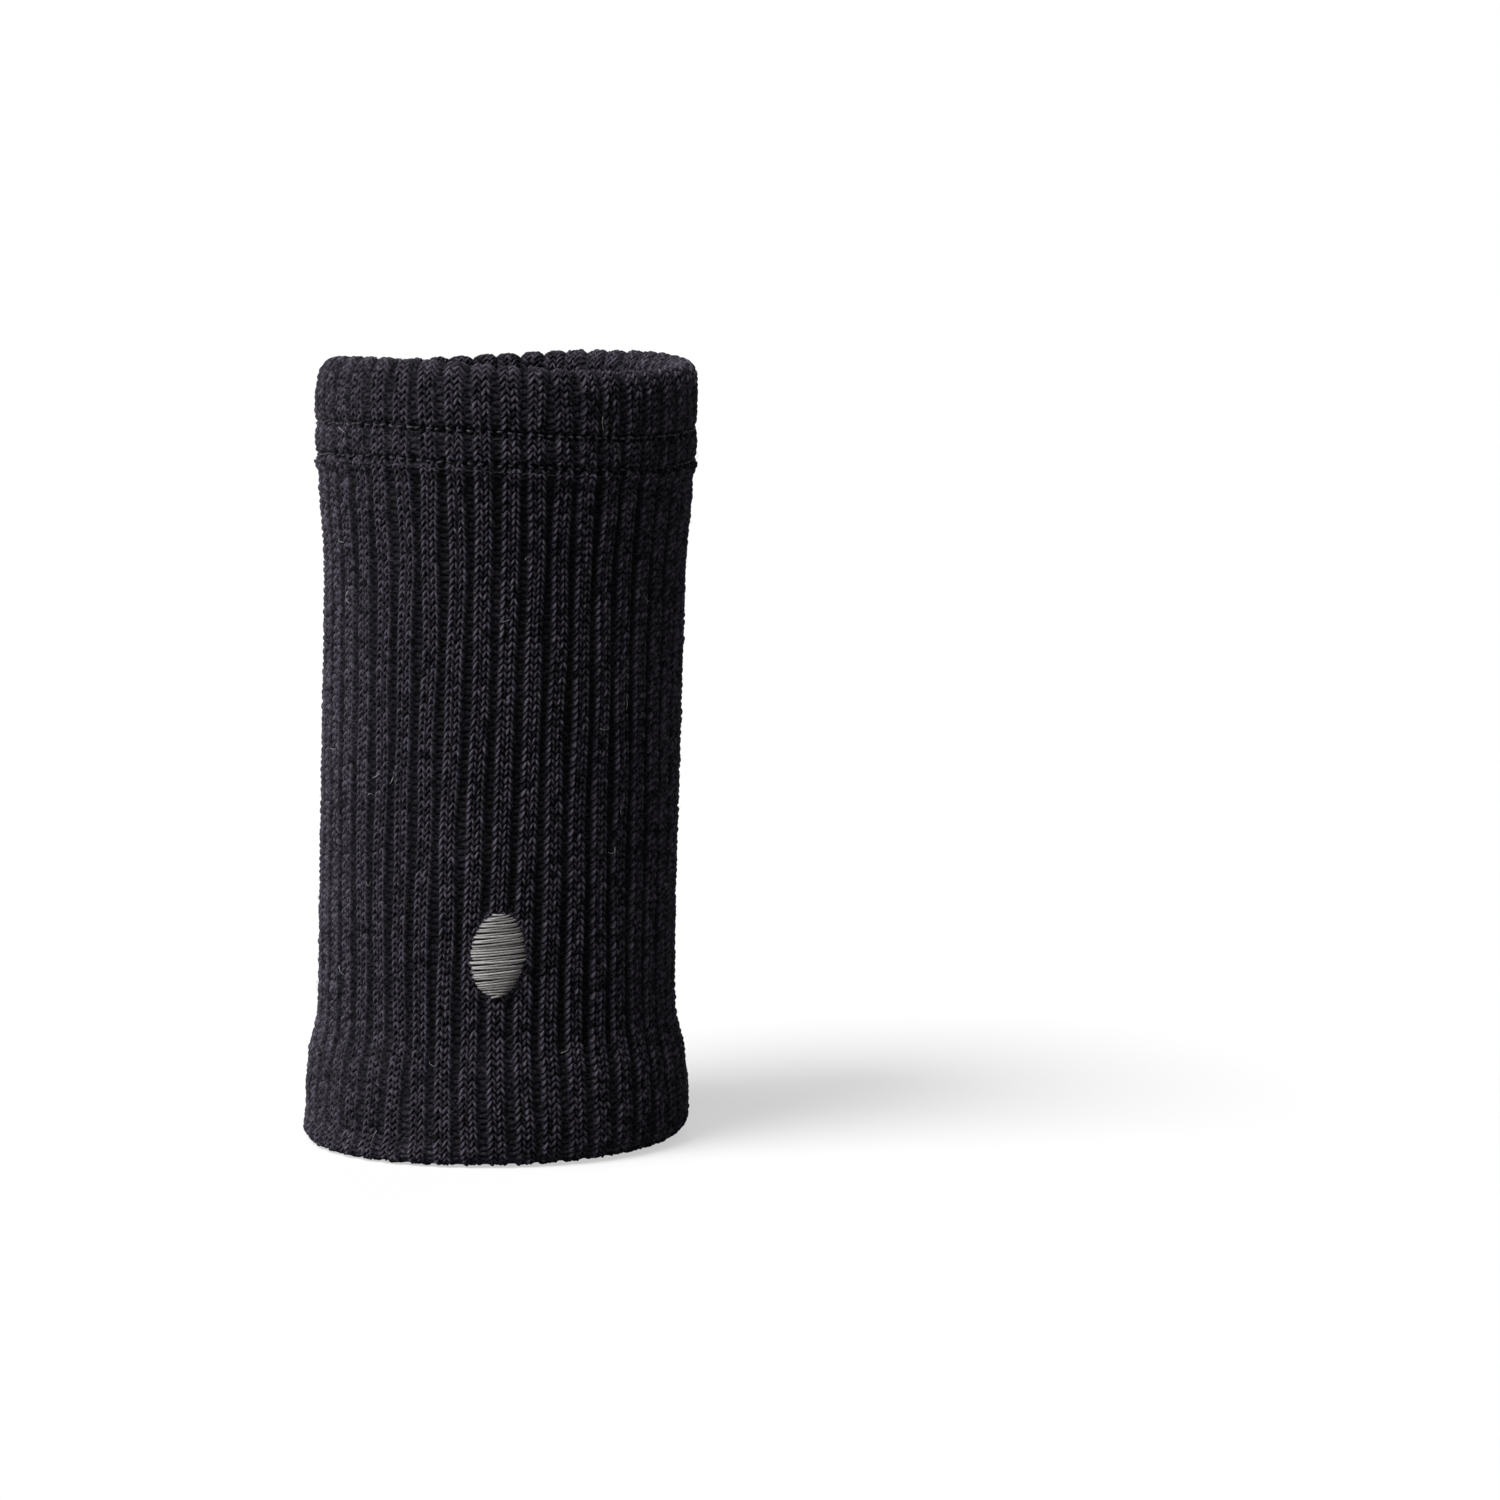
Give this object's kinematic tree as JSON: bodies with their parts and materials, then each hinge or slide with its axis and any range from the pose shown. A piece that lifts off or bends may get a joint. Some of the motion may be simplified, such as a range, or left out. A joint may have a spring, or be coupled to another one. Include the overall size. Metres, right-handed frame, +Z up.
{
  "type": "sweat wristband",
  "caption": "Long rib-knit sweat wristband: an upright stretch tube with a stitched turned hem at the top, a thick folded cuff at the base and a small embroidered oval on the front.",
  "frame": {"origin": "centre of the flat ring on which the cuff stands", "axes": "+Z up the tube from the cuff to the hem; -Y is the front, which carries the embroidered oval; +X is to the right when seen from the front"},
  "size_m": [0.0594, 0.0594, 0.12],
  "materials": {
    "rib_knit": "matt black ribbed knit, slightly fuzzy",
    "rib_knit_inside": "matt black ribbed knit, inner face",
    "sewing_thread": "black spun polyester thread, faint lustre",
    "looper_thread": "black textured thread, matt",
    "elastic_yarn": "black yarn-covered elastic",
    "linking_yarn": "matt black yarn",
    "embroidery_thread": "warm grey rayon thread, satin lustre",
    "bobbin_thread": "black spun thread, matt",
    "backing": "dark non-woven backing, matt"
  },
  "bodies": {
    "root": {"knit_tube": "rib_knit", "top_hem_facing": "rib_knit_inside", "hem_needle_thread_upper": "sewing_thread", "hem_needle_thread_lower": "sewing_thread", "hem_looper_thread": "looper_thread", "bottom_cuff_facing": "rib_knit_inside", "cuff_elastic_yarns": "elastic_yarn", "cuff_linking_yarn": "linking_yarn", "motif_satin_thread": "embroidery_thread", "motif_bobbin_thread": "bobbin_thread", "motif_backing": "backing"}
  },
  "joints": []
}
